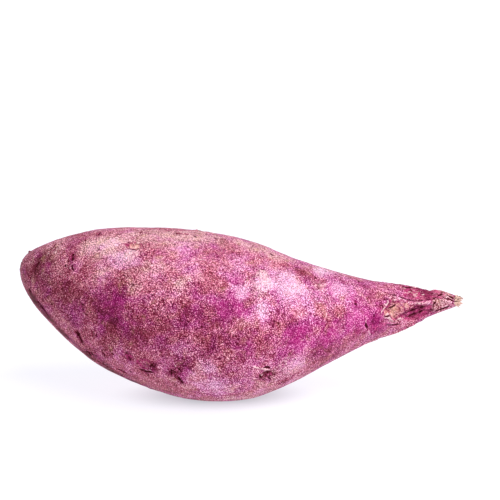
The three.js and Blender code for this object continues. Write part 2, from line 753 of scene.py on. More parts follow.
@dataclass(frozen=True)
class Scab(Spot):
    """A dark corky patch, ragged and broken up, with pits in it."""

    width: float = 0.75

    def cut(self, patch: Patch) -> None:
        """Breaks up the skin and makes it corky.

        Args:
            patch: The skin round the mark.
        """
        ring = self.ring(patch) + 0.9 * patch.rag + 0.35 * patch.fine
        inside = hump(ring / 1.25)
        crumb = rise(patch.fine + 0.5 * patch.rag, -0.2, 0.15)
        pits = rise(patch.fine - 0.3 * patch.rag, 0.12, 0.32) * hump(ring / 1.4)
        rim = hump((ring - 1.3) / 0.6)
        patch.push(0.2 * rim - inside * (0.25 + 0.2 * crumb) - 0.35 * pits)
        patch.show(Look.CORK, 0.75 * inside * (0.35 + 0.65 * crumb))
        patch.show(Look.SOIL_AND_SHADE, inside * (0.32 + 0.25 * crumb) + 0.9 * pits, most=1)
        patch.show(Look.WINE, 0.5 * hump(ring / 1.9))
        patch.show(Look.DUSK_AND_SHADE, 0.8 * hump(ring / 2.3))


@dataclass(frozen=True)
class Peel(Spot):
    """A place where the skin is off: dry flesh inside a broken line and a raised edge."""

    reach: ClassVar[float] = 2.0
    width: float = 0.65
    lift: float = 0.3
    bare: float = 0.6

    def cut(self, patch: Patch) -> None:
        """Sinks the bare flesh and lifts the skin's edge.

        Args:
            patch: The skin round the mark.
        """
        ring = self.ring(patch) + 0.5 * patch.rag + 0.2 * patch.fine
        inside = 1 - rise(ring, 0.7, 1.05)
        broken = rise(patch.fine - patch.rag, -0.15, 0.3)
        edge = hump((ring - 0.96) / 0.26) * broken
        rim = hump((ring - 1.22) / 0.3)
        patch.push(self.lift * (0.8 * rim - inside * (0.8 + 1.2 * patch.fine) - 0.7 * edge))
        patch.show(Look.FLESH, inside * (self.bare + 0.8 * patch.rag + 0.7 * patch.fine), most=1)
        patch.show(Look.WINE, 0.8 * edge + 0.45 * hump((ring - 0.9) / 0.5), most=1)
        patch.show(Look.SOIL_AND_SHADE, 0.5 * edge + inside * (1.6 * patch.fine - 0.5), most=0.7)
        patch.show(Look.PALE, (0.3 + self.bare) * rim * (0.1 + 2.2 * patch.rag), most=0.7)


@dataclass(frozen=True)
class Dent(Spot):
    """A soft hollow with no broken skin."""

    reach: ClassVar[float] = 1.6
    depth: float = 0.5

    def cut(self, patch: Patch) -> None:
        """Presses the hollow and darkens it with painted shade and a mottled red-purple tint.

        Args:
            patch: The skin round the mark.
        """
        ring = self.ring(patch) + 0.15 * patch.rag
        patch.push(-self.depth * hump(ring / 1.3))
        patch.show(Look.DUSK_AND_SHADE, hump(ring / 1.4))
        patch.show(Look.WINE, 0.6 * hump(ring / 1.1) * (0.6 + 1.5 * patch.fine), most=0.7)


@dataclass(frozen=True)
class Nub(Spot):
    """The dry stub of a fine root, standing a little proud."""

    height: float = 0.6

    def cut(self, patch: Patch) -> None:
        """Raises the stub in a dirty groove.

        Args:
            patch: The skin round the mark.
        """
        ring = self.ring(patch) + 0.2 * patch.rag
        patch.push(self.height * (hump(ring / 0.9) - 0.3 * hump((ring - 1.2) / 0.5)))
        patch.show(Look.SOIL_AND_SHADE, 0.8 * hump((ring - 0.9) / 0.6))
        patch.show(Look.CORK, hump(ring / 0.8))


@dataclass(frozen=True)
class Speck(Spot):
    """A small dark pore."""

    reach: ClassVar[float] = 2.2

    def cut(self, patch: Patch) -> None:
        """Sinks the pore and darkens it.

        Args:
            patch: The skin round the mark.
        """
        ring = self.ring(patch) + 0.3 * patch.rag
        patch.push(0.2 * self.size * (0.4 * hump((ring - 1.2) / 0.5) - hump(ring / 1.1)))
        patch.show(Look.SOIL_AND_SHADE, 0.9 * hump(ring / 1.3))


@dataclass(frozen=True)
class Blotch(Spot):
    """A pale round stain with a faint raised ring."""

    reach: ClassVar[float] = 1.7

    def cut(self, patch: Patch) -> None:
        """Raises the ring and pales what lies inside it.

        Args:
            patch: The skin round the mark.
        """
        ring = self.ring(patch) + 0.3 * patch.rag
        edge = hump((ring - 0.9) / 0.3)
        patch.push(0.12 * edge - 0.1 * hump(ring / 0.8))
        patch.show(Look.PALE, 0.45 * hump(ring / 1.3) + 0.25 * edge)


@dataclass(frozen=True)
class Flute(Spot):
    """A hollow of the shrunken neck, pointed at both ends and lined lengthwise."""

    reach: ClassVar[float] = 1.3
    anchored: ClassVar[bool] = False
    width: float = 0.35
    depth: float = 0.7
    shade: float = 0.8

    def cut(self, patch: Patch) -> None:
        """Sinks the hollow and draws its lengthwise lines.

        Args:
            patch: The skin round the mark.
        """
        half = self.size * self.width * np.sqrt(np.clip(1 - (patch.run / self.size) ** 2, 0.01, 1))
        within = rise(1 - np.abs(patch.run) / self.size + 0.3 * patch.rag, 0, 0.2)
        ring = np.abs(patch.side) / half + 0.5 * patch.rag
        inside = (1 - rise(ring, 0.55, 1.1)) * within
        edge = hump((ring - 0.92) / 0.22) * within * rise(patch.side, -0.2, 0.6)
        lines = patch.wobble((7.0, 0.9, 0.9), self.turn)
        hairs = patch.wobble((4.0, 0.45, 0.45), self.turn + 5)
        patch.push(inside * (0.5 * lines + 0.3 * hairs - self.depth))
        patch.show(Look.WINE, self.shade * inside)
        patch.hide(Look.LILAC_AND_HIGHLIGHT, inside)
        dark = rise(-lines - 0.8 * hairs, 0.2, 0.5) * inside
        patch.show(Look.SOIL_AND_SHADE, self.shade * np.clip(0.5 * edge + 0.6 * dark, 0, 0.7))
        pale = (0.9 - 0.7 * self.shade) * inside
        patch.show(Look.PALE, pale * rise(lines + 0.8 * hairs, 0.2, 0.5))


@dataclass(frozen=True)
class Stain(Spot):
    """A soft zone of another colour, with no relief."""

    reach: ClassVar[float] = 1.5
    anchored: ClassVar[bool] = False
    look: Look = Look.BLUSH
    amount: float = 1.0

    def cut(self, patch: Patch) -> None:
        """Lets the colour show."""
        ring = self.ring(patch) + 0.35 * patch.rag
        patch.show(self.look, self.amount * (1 - rise(ring, 0.1, 1.2)))


@dataclass(frozen=True)
class Trail(Mark):
    """A mark that follows a line of places on the skin, each (along, turn).

    It strays to either side by about stray mm. reach is how many widths away it
    still changes the skin, and step is how far apart the line's points are. The
    sizes are those of the lumps in the noise that bends it and makes it ragged.
    """

    reach: ClassVar[float] = 4.0
    step: ClassVar[float] = 0.4
    stray_size: ClassVar[float] = 1.8
    rag_size: ClassVar[float] = 2.2
    route: tuple[tuple[float, float], ...]
    width: float
    depth: float
    stray: float = 0.25

    def line(self, solid: Solid) -> np.ndarray:
        """Follows the route over the surface.

        Args:
            solid: The solid that has the surface.

        Returns:
            Points on it, close together, one to a row.
        """
        along, turns = np.array(self.route).T
        ends = solid.lay(along, np.radians(turns))
        run = np.concatenate([[0], np.cumsum(np.linalg.norm(np.diff(ends, axis=0), axis=1))])
        marks = np.linspace(0, run[-1], max(4, int(run[-1] / self.step)))
        return solid.lay(np.interp(marks, run, along), np.radians(np.interp(marks, run, turns)))

    def anchors(self, solid: Solid) -> list[tuple[np.ndarray, float]]:
        """The places that need a finer mesh, each with how far from it."""
        return [(point, 1.2 * self.width + 0.4) for point in self.line(solid)[::2]]

    def patch(self, canvas: Canvas) -> Patch:
        """Finds the skin beside the line.

        Args:
            canvas: The skin.

        Returns:
            Its points. run goes from -1 to 1 along the line and side is in widths.
        """
        line = self.line(canvas.solid)
        middle = line.mean(axis=0)
        span = np.linalg.norm(line - middle, axis=1).max() + self.reach * self.width
        near = np.flatnonzero(np.linalg.norm(canvas.places - middle, axis=1) < span)
        distances = np.linalg.norm(canvas.places[near, None] - line[None], axis=2)
        nearest = distances.argmin(axis=1)
        beside = distances.min(axis=1) < self.reach * self.width + self.stray
        near, nearest = near[beside], nearest[beside]
        ways = np.gradient(line, axis=0)
        ways /= np.linalg.norm(ways, axis=1)[:, None]
        across = np.cross(canvas.facing[near], ways[nearest])
        offset = canvas.places[near] - line[nearest]
        past = np.abs((offset * ways[nearest]).sum(axis=1))
        seed = self.route[0][0] + 0.1 * self.route[0][1]
        bend = wobble(canvas.places[near], self.stray_size, seed)
        side = (offset * across).sum(axis=1) + self.stray * bend
        side = np.sign(side) * np.hypot(side, np.clip(past - self.step, 0, None))
        run = 2 * nearest / (len(line) - 1) - 1
        rag = wobble(canvas.places[near], self.rag_size, seed + 7)
        fine = wobble(canvas.places[near], FINE, seed + 3)
        return Patch(canvas, near, run, side / self.width, rag, fine)


@dataclass(frozen=True)
class Crack(Trail):
    """A narrow split with dirt in it and one pale lip."""

    width: float = 0.45
    depth: float = 0.5
    lip: float = 0.3
    dirt: float = 1.0

    def cut(self, patch: Patch) -> None:
        """Splits the skin and turns up its lip.

        Args:
            patch: The skin beside the mark.
        """
        taper = np.clip(1.15 - patch.run**4 + 0.8 * patch.rag, 0.2, 1.3)
        split = hump(patch.side / taper)
        lip = hump((patch.side - 1.4) / 1.1) * np.clip(taper, 0, 1)
        patch.push(self.depth * (0.35 * self.lip * lip - split))
        patch.show(Look.PALE, self.lip * lip * (0.7 + 1.5 * patch.rag), most=1)
        patch.hide(Look.PALE, 1.5 * split)
        patch.show(Look.SOIL_AND_SHADE, self.dirt * split * (1.5 + 1.5 * patch.fine), most=1)
        patch.show(Look.WINE, 0.55 * hump(patch.side / 2.4) * np.clip(taper, 0, 1))


@dataclass(frozen=True)
class Crease(Trail):
    """A soft fold of whole skin."""

    width: float = 1.1
    depth: float = 0.22
    stray: float = 0.5

    def cut(self, patch: Patch) -> None:
        """Folds the skin in and shades it.

        Args:
            patch: The skin beside the mark.
        """
        taper = 1 - patch.run**2
        bank = hump((patch.side - 1.4) / 0.9)
        patch.push(self.depth * taper * (0.4 * bank - hump(patch.side)))
        patch.show(Look.SOIL_AND_SHADE, 0.55 * taper * hump(patch.side / 0.5))
        patch.show(Look.DUSK_AND_SHADE, 0.6 * taper * hump(patch.side / 1.3))
        patch.show(Look.PALE, 0.35 * taper * hump((patch.side - 1.2) / 0.6))


@dataclass(frozen=True)
class Ridge(Trail):
    """A raised pale edge of dried skin."""

    width: float = 0.7
    depth: float = 0.4
    pale: float = 0.8

    def cut(self, patch: Patch) -> None:
        """Raises the skin and pales its crest.

        Args:
            patch: The skin beside the mark.
        """
        taper = np.clip(1 - patch.run**4 + 0.9 * patch.rag, 0, 1.2)
        crest = taper * hump(patch.side)
        patch.push(self.depth * taper * hump(patch.side / 1.3))
        patch.hide(Look.SOIL_AND_SHADE, crest)
        patch.hide(Look.WINE, crest)
        patch.show(Look.PALE, self.pale * crest * (0.8 + patch.fine), most=1)


# -------------------------------------------------- scars made of several marks


@dataclass(frozen=True)
class Scar(Mark):
    """A scar made of several marks, set out in mm from its middle.

    The root is taken as an egg of this radius and half-length, round this middle.
    """

    radius: ClassVar[float] = 35
    half_length: ClassVar[float] = 86
    middle: ClassVar[float] = -12
    along: float
    turn: float
    scale: float = 1.0
    lean: float = 0.0

    def at(self, run: float, side: float) -> tuple[float, float]:
        """Finds a place on the skin.

        Args:
            run: How far it lies along the scar.
            side: How far it lies across it.

        Returns:
            Its distance along X and its turn.
        """
        girth = self.radius * math.sqrt(1 - ((self.along - self.middle) / self.half_length) ** 2)
        lean = math.radians(self.lean)
        ahead = run * math.cos(lean) - side * math.sin(lean)
        round_it = run * math.sin(lean) + side * math.cos(lean)
        return self.along + self.scale * ahead, self.turn + math.degrees(self.scale * round_it / girth)

    def spot(
        self, kind: type[Spot], run: float, side: float, size: float, lean: float = 0, **rest: object
    ) -> Spot:
        """A spot of this kind in the scar."""
        return kind(*self.at(run, side), size * self.scale, lean=lean + self.lean, **rest)

    def trail(self, kind: type[Trail], *stops: tuple[float, float], **rest: object) -> Trail:
        """A trail of this kind in the scar."""
        return kind(tuple(self.at(run, side) for run, side in stops), **rest)


@dataclass(frozen=True)
class PitCluster(Scar):
    """A few dark pits in a purple hollow, and a slit with a cream side."""

    def parts(self) -> list[Mark]:
        """Sets out the pits, their hollow and the slit.

        Returns:
            The single marks, in order.
        """
        return [
            self.spot(Stain, 0.2, 0.5, 3.4, look=Look.DUSK_AND_SHADE, amount=0.9),
            self.spot(Stain, 0.2, -0.4, 2.4, look=Look.WINE, amount=0.45),
            self.spot(Dent, 0, -0.8, 2.2, depth=0.35),
            self.spot(Scab, 0.1, 0.3, 1.2, lean=60, width=0.7),
            self.spot(Speck, 0.2, -1.6, 1, lean=100, width=0.7),
            self.spot(Speck, -1.3, -2.8, 0.8, lean=40, width=0.8),
            self.trail(Crack, (-2.8, -4.3), (-2.1, -5.4), width=0.35, dirt=0.8),
            self.trail(Ridge, (-0.5, -4.4), (0, -6.2), width=0.7, depth=0.25, pale=0.9),
            self.trail(Crack, (0.2, -4.2), (0.5, -5.3), (0.9, -6.6), width=0.5, lip=0),
        ]


@dataclass(frozen=True)
class OvalScar(Scar):
    """A healed oval with a dark end and a slit beside it."""

    def parts(self) -> list[Mark]:
        """Sets out the oval, its dark end and the slit.

        Returns:
            The single marks, in order.
        """
        return [
            self.spot(Peel, 0, 0.2, 3.4, width=0.8, lift=0.22, bare=0.15),
            self.spot(Scab, 2.9, 0.6, 2.3, lean=70, width=0.75),
            self.spot(Speck, 1.4, -0.4, 0.5),
            self.spot(Speck, 2.2, -1.4, 0.45),
            self.trail(Crack, (-3.2, -4.2), (0, -3.9), (2.3, -2.8), width=0.65, lip=0.05),
            self.trail(Crack, (-2.2, 2.6), (-1, 2.4), width=0.45, lip=0, dirt=0.7),
        ]


@dataclass(frozen=True)
class CrustyScar(Scar):
    """A pitted crust with a tail, a cream crumb and a red-purple bruise round it."""

    def parts(self) -> list[Mark]:
        """Sets out the crust, its tail, the crumb and the bruise.

        Returns:
            The single marks, in order.
        """
        return [
            self.spot(Stain, -0.6, 0.5, 3.6, look=Look.WINE, amount=0.42),
            self.spot(Scab, 0, 0, 2.7, lean=-50, width=0.7),
            self.spot(Scab, 2.6, -3.2, 1.3, lean=-60, width=0.5),
            self.trail(Ridge, (0.3, 4.9), (0.9, 3.4), width=0.65, depth=0.3, pale=1),
            self.trail(Crack, (1.3, 3.6), (2.2, 2), width=0.4, lip=0, dirt=0.8),
            self.trail(Crack, (-1.3, 1.7), (-0.8, -0.2), (-1, -2), width=0.42, lip=0, dirt=0.7),
            self.trail(Crack, (1.4, -1), (2.3, -3), (2.8, -5.2), width=0.42, lip=0.2),
        ]


@dataclass(frozen=True)
class RootEye(Scar):
    """Where a side root grew: a puckered pit under a thin pale fold."""

    def parts(self) -> list[Mark]:
        """Sets out the pit, the fold over it and the puckers.

        Returns:
            The single marks, in order.
        """
        return [
            self.spot(Stain, 0, -2.8, 3.6, look=Look.DUSK_AND_SHADE, amount=0.9),
            self.spot(Dent, 0, -1.2, 4.4, depth=0.35),
            self.spot(Eye, 0, -0.4, 2.1, width=0.9, depth=0.34, nub=0),
            self.trail(Crack, (-1.5, 3.3), (0.3, 3.1), (1.7, 2), width=0.5, lip=0),
            self.trail(
                Ridge, (-7.4, 4.8), (-3.6, 3.7), (0, 2.2), (1.6, 0.9), width=0.44, depth=0.36, pale=1.5
            ),
            self.trail(Ridge, (-2.4, -1), (-1.5, -0.2), width=0.6, depth=0.35, pale=0.8),
            self.trail(Crack, (-2.9, -0.6), (-2.4, -2.6), width=0.38, lip=0.2, dirt=0.8),
            self.trail(Crack, (-0.7, -2.8), (-1.3, -5.2), width=0.35, lip=0.2, dirt=0.7),
            self.trail(Crack, (0.7, -2.6), (1.5, -5.4), width=0.35, lip=0.2, dirt=0.7),
            self.trail(Crack, (2.1, -1.2), (3.5, -2.6), width=0.35, lip=0.2, dirt=0.6),
            self.trail(Crack, (2.2, 0.6), (3.4, 0.3), width=0.35, lip=0, dirt=0.6),
        ]


@dataclass(frozen=True)
class TopScar(Scar):
    """A row of small red-brown scabs with pale crumbs between them."""

    def parts(self) -> list[Mark]:
        """Sets out the scabs and the crumbs.

        Returns:
            The single marks, in order.
        """
        return [
            self.spot(Stain, 0, 0, 3, width=0.6, look=Look.WINE, amount=0.45),
            self.spot(Scab, -1.6, 0, 1.3, width=0.7),
            self.spot(Scab, 1.6, 0.4, 1.1, width=0.8, lean=30),
            self.trail(Ridge, (-0.2, -0.6), (0.6, 0.5), width=0.5, depth=0.2, pale=0.8),
            self.trail(Crack, (2.6, 1.2), (3.8, 0.6), width=0.4, lip=0.3),
        ]


@dataclass(frozen=True)
class RingStain(Scar):
    """A pale ring with a brown smudge and a pore on its rim."""

    def parts(self) -> list[Mark]:
        """Sets out the ring, the smudge and the pores.

        Returns:
            The single marks, in order.
        """
        return [
            self.spot(Blotch, 0, 0, 3.8, width=0.8),
            self.spot(Stain, 1.4, 4.4, 2.4, look=Look.CORK, amount=0.45),
            self.spot(Speck, 3.6, 0.4, 0.5),
            self.spot(Speck, 1.4, 1.6, 0.4),
            self.trail(Ridge, (3.6, 2.6), (4.4, 0.6), width=0.45, depth=0.15, pale=0.8),
        ]


# ----------------------------------------------------------------- the root itself


@dataclass(frozen=True)
class Swell:
    """One layer of slow bumps all over the root, or of wrinkles if it is stretched."""

    size: float | Triple
    height: float
    seed: float


@dataclass
class Root:
    """The whole root: its mesh's fineness, its bumps, its torn tip and its marks.

    A span is two distances along X: where something starts to show, and where it
    is in full. The crown's span runs back along X.
    """

    solid: Solid
    finish: SkinFinish
    segments: int = 216
    body_step: float = 1.0
    neck_step: float = 0.5
    fine_span: tuple[float, float] = (50, 64)
    refinements: tuple[float, ...] = (1.0, 0.6)
    finest: float = 0.42
    end_cap: float = 0.3
    smoothings: int = 26
    swells: tuple[Swell, ...] = (
        Swell(30.0, 0.55, 2.0),
        Swell(12.0, 0.24, 4.0),
        Swell(5.0, 0.1, 6.0),
        Swell(2.4, 0.05, 8.0),
        Swell((1.7, 9.0, 9.0), 0.06, 10.0),
    )
    crown_span: tuple[float, float] = (84, 93)
    pucker: float = 0.35
    pleat_span: tuple[float, float] = (58, 72)
    pleat: float = 0.22
    tip_from: float = 91.4
    tear: float = 0.9
    splinter: float = 0.6
    strands: int = 40
    strand_radius: float = 0.26
    strand_gap: float = 2.3
    strand_lengths: tuple[float, float] = (0.6, 1.6)
    strand_steps: int = 4
    strand_taper: float = 0.8
    strand_droop: float = 0.1
    marks: list[Mark] = field(default_factory=list)

    def build(self) -> bpy.types.Object:
        """Makes the finished root.

        Returns:
            Its object, at the origin, in metres.
        """
        shape = self._wrapped_ball()
        self._refine(shape)
        self._smooth(shape)
        canvas = Canvas(shape, self.solid)
        self._swell(canvas)
        self._pleat(canvas)
        for mark in self.marks:
            mark.carve(canvas)
        self._roughen_tip(canvas)
        self._apply(shape, canvas)
        self._fray(shape)
        return self._finished(shape)

    def _ring_places(self) -> np.ndarray:
        """Spaces the mesh's rings: closer at the neck, and evenly over the skin.

        Returns:
            Where they lie along X.
        """
        solid = self.solid
        along = np.linspace(solid.along[0], solid.along[-1], 6000)
        slope = np.gradient(np.interp(along, solid.along, solid.radii), along)
        step = self.body_step + (self.neck_step - self.body_step) * rise(along, *self.fine_span)
        count = np.cumsum(np.hypot(1, slope) / step) * (along[1] - along[0])
        return np.interp(np.linspace(0, count[-1], int(count[-1]) + 1), count, along)

    def _wrapped_ball(self) -> bmesh.types.BMesh:
        """Wraps a ball on the solid, with its poles at the root's ends.

        Returns:
            The wrapped mesh.
        """
        rings = self._ring_places()
        shape = bmesh.new()
        sections = len(rings) - 1
        bmesh.ops.create_uvsphere(shape, u_segments=self.segments, v_segments=sections, radius=1)
        ball = np.array([point.co for point in shape.verts])
        polar = np.arccos(np.clip(-ball[:, 2], -1, 1)) / math.pi
        along = np.interp(polar, np.linspace(0, 1, len(rings)), rings)
        self._place(shape, self.solid.lay(along, np.arctan2(ball[:, 1], -ball[:, 0])))
        return shape

    @staticmethod
    def _place(shape: bmesh.types.BMesh, places: np.ndarray) -> None:
        """Moves the mesh's points to these places."""
        for point, place in zip(shape.verts, places.tolist()):
            point.co = place

    def _refine(self, shape: bmesh.types.BMesh) -> None:
        """Splits the edges near the marks, and lays the new points on the solid.

        Args:
            shape: The wrapped mesh, which is changed.
        """
        anchors = [anchor for mark in self.marks for anchor in mark.anchors(self.solid)]
        for share in self.refinements:
            edges = list(shape.edges)
            middles = np.array([(edge.verts[0].co + edge.verts[1].co) / 2 for edge in edges])
            chosen = np.zeros(len(edges), bool)
            for centre, reach in anchors:
                chosen |= ((middles - centre) ** 2).sum(axis=1) < (share * reach) ** 2
            chosen &= np.array([edge.calc_length() for edge in edges]) > self.finest
            near = [edges[i] for i in np.flatnonzero(chosen)]
            bmesh.ops.subdivide_edges(shape, edges=near, cuts=1, use_grid_fill=True)
        places = np.array([point.co for point in shape.verts])
        laid = self.solid.lay(places[:, 0], self.solid.turns(places))
        ends = np.abs(places[:, 0]) > np.abs(self.solid.along[-1]) - self.end_cap
        laid[ends] = places[ends]
        self._place(shape, laid)
        self._put_in_order(shape)

    @staticmethod
    def _put_in_order(shape: bmesh.types.BMesh) -> None:
        """Numbers the points and faces by place, so that every run has them alike.

        Args:
            shape: The mesh, which is renumbered.
        """
        slant = Vector((1.0, 0.618, 0.382))
        shape.verts.sort(key=lambda point: slant.dot(point.co))
        shape.verts.index_update()
        count = len(shape.verts)

        def rank(face: bmesh.types.BMFace) -> int:
            """A number that no other face has, from its first three points."""
            first, second, third = sorted(corner.index for corner in face.verts)[:3]
            return (first * count + second) * count + third

        shape.faces.sort(key=rank)
        shape.faces.index_update()

    def _smooth(self, shape: bmesh.types.BMesh) -> None:
        """Takes the solid's facets off the skin.

        Args:
            shape: The fine mesh, which is changed.
        """
        axes = {"use_axis_x": True, "use_axis_y": True, "use_axis_z": True}
        for _ in range(self.smoothings):
            bmesh.ops.smooth_vert(shape, verts=shape.verts, factor=0.5, **axes)
        bmesh.ops.recalc_face_normals(shape, faces=shape.faces)
        shape.normal_update()

    def _swell(self, canvas: Canvas) -> None:
        """Gives the skin its slow bumps, its wrinkles and the crown's puckers.

        Args:
            canvas: The skin.
        """
        for swell in self.swells:
            canvas.push += swell.height * wobble(canvas.places, swell.size, swell.seed)
        along = canvas.places[:, 0]
        turns = self.solid.turns(canvas.places)
        circle = np.stack([0.12 * along, 3 * np.cos(turns), 3 * np.sin(turns)], axis=-1)
        canvas.push += self.pucker * rise(-along, *self.crown_span) * wobble(circle, 1.0, 31.0)

    def _pleat(self, canvas: Canvas) -> None:
        """Pleats the neck lengthwise, with painted shade in the valleys and painted highlights on the crests.

        Args:
            canvas: The skin.
        """
        neck = rise(canvas.places[:, 0], *self.pleat_span)
        pleats = wobble(canvas.places, (9.0, 1.3, 1.3), 17.0)
        pleats = pleats + 0.6 * wobble(canvas.places, (5.0, 0.6, 0.6), 19.0)
        canvas.push += self.pleat * neck * pleats
        canvas.show(Look.WINE, 0.5 * neck * rise(-pleats, 0.15, 0.4))
        canvas.show(Look.PALE, 0.3 * neck * rise(pleats, 0.3, 0.6))

    def _roughen_tip(self, canvas: Canvas) -> None:
        """Splinters the end of the neck into fibres.

        Args:
            canvas: The skin.
        """
        ragged = canvas.places[:, 0] + 0.8 * wobble(canvas.places, 1.2, 71.0)
        torn = rise(ragged, self.tip_from, self.tip_from + self.tear)
        splinters = wobble(canvas.places, (5.0, 0.55, 0.55), 73.0)
        canvas.push += torn * (self.splinter * splinters + 0.1)
        canvas.show(Look.FIBRE, torn)
        canvas.show(Look.SOIL_AND_SHADE, torn * rise(-splinters, 0.0, 0.25))
        canvas.hide(Look.PALE, torn)

    def _apply(self, shape: bmesh.types.BMesh, canvas: Canvas) -> None:
        """Moves the mesh's points out and in, and stores what shows on them.

        Args:
            shape: The mesh, which is changed.
            canvas: What was carved.
        """
        places = canvas.places + canvas.facing * canvas.push[:, None]
        places[:, 2] = np.clip(places[:, 2], 0, None)
        self._place(shape, places)
        for look, amounts in canvas.shows.items():
            layer = shape.verts.layers.float.new(look.value)
            for point, amount in zip(shape.verts, amounts.tolist()):
                point[layer] = amount

    def _fray(self, shape: bmesh.types.BMesh) -> None:
        """Draws torn fibres out of the tip's own faces, in tapering steps.

        Args:
            shape: The mesh, which is changed.
        """
        chance = random.Random(5)
        shape.normal_update()
        tip = [(face, face.calc_center_median()) for face in shape.faces]
        tip = [(face, centre) for face, centre in tip if centre.x > self.tip_from + 1.0]
        seeds = []
        for face, centre in chance.sample(tip, len(tip)):
            if all((centre - other).length > self.strand_gap * self.strand_radius for _, other in seeds):
                seeds.append((face, centre))
        strand = shape.verts.layers.int.new("strand")
        patch = []
        ways = {}
        for number, (seed, centre) in enumerate(seeds[: self.strands], start=1):
            way = Vector((1.0, 0, 0)) + 0.5 * seed.normal
            way += 0.35 * Vector([chance.uniform(-1, 1) for _ in range(3)])
            ways[number] = way.normalized() * chance.uniform(*self.strand_lengths)
            for face in (face for face, place in tip if (place - centre).length < self.strand_radius):
                patch.append(face)
                for corner in face.verts:
                    corner[strand] = number
        for _ in range(self.strand_steps):
            patch = self._draw_out(shape, patch, ways)
        shape.verts.layers.int.remove(strand)

    def _draw_out(
        self, shape: bmesh.types.BMesh, patch: list[bmesh.types.BMFace], ways: dict[int, Vector]
    ) -> list[bmesh.types.BMFace]:
        """Draws every fibre out by one step.

        Args:
            shape: The mesh, which is changed.
            patch: The faces at the fibres' ends.
            ways: Each fibre's way and length, which droop a little with the step.

        Returns:
            The faces at the fibres' new ends.
        """
        strand = shape.verts.layers.int["strand"]
        fibre = shape.verts.layers.float[Look.FIBRE.value]
        soil_and_shade = shape.verts.layers.float[Look.SOIL_AND_SHADE.value]
        grown = bmesh.ops.extrude_face_region(shape, geom=patch)["geom"]
        ends = [item for item in grown if isinstance(item, bmesh.types.BMVert)]
        for number, way in ways.items():
            bundle = [end for end in ends if end[strand] == number]
            middle = sum((end.co for end in bundle), Vector()) / len(bundle)
            for end in bundle:
                end.co = middle + way / self.strand_steps + self.strand_taper * (end.co - middle)
                end[fibre] = 1.0
                end[soil_and_shade] = 0.0
            ways[number] = way + Vector((0, 0, -self.strand_droop * way.length))
        return [item for item in grown if isinstance(item, bmesh.types.BMFace)]

    def _finished(self, shape: bmesh.types.BMesh) -> bpy.types.Object:
        """Turns the sculpted mesh into the dressed object.

        Args:
            shape: The mesh, which is used up.

        Returns:
            The object, linked to the scene.
        """
        bmesh.ops.remove_doubles(shape, verts=shape.verts, dist=0.002)
        bmesh.ops.recalc_face_normals(shape, faces=shape.faces)
        bmesh.ops.scale(shape, vec=(MM,) * 3, verts=shape.verts)
        mesh = bpy.data.meshes.new(PIECE)
        shape.to_mesh(mesh)
        shape.free()
        mesh.shade_smooth()
        mesh.materials.append(self.finish.make())
        root = bpy.data.objects.new(PIECE, mesh)
        bpy.context.scene.collection.objects.link(root)
        return root


# ------------------------------------------------------- where the marks lie

